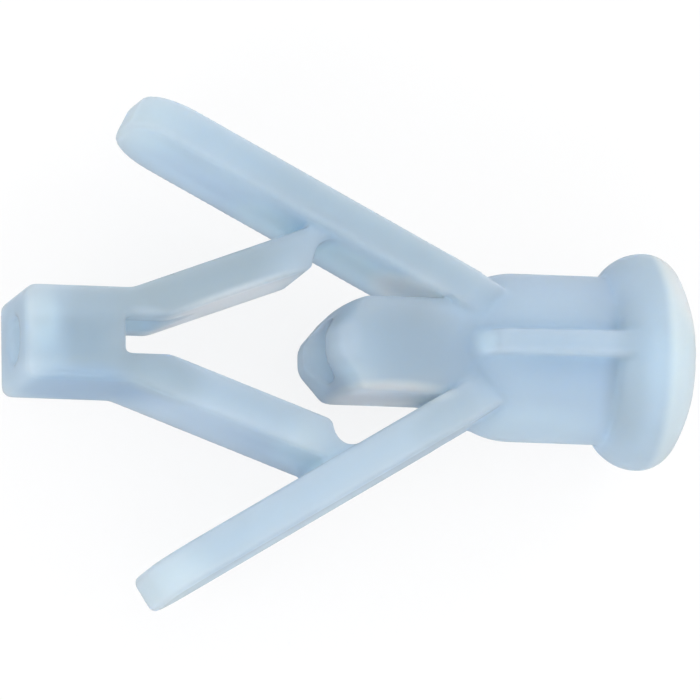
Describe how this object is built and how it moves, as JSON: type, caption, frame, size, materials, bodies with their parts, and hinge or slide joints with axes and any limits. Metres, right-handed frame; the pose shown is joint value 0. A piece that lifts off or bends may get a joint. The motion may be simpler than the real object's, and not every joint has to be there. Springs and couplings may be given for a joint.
{
  "type": "winged plasterboard anchor",
  "caption": "Moulded plasterboard anchor with a domed flange, round finned shank, spreading wings and a linked tip block that a screw draws in.",
  "frame": {"origin": "on the screw axis, in the plane of the flange's underside, where the board's face would be", "axes": "+X along the screw axis towards the head, wings spread along +Y and -Y, +Z square to the plane in which the wings spread"},
  "size_m": [0.0409, 0.0305, 0.0128],
  "materials": {
    "anchor_plastic": "translucent bluish-white moulded plastic, satin"
  },
  "bodies": {
    "root": {"winged_anchor": "anchor_plastic"}
  },
  "joints": []
}
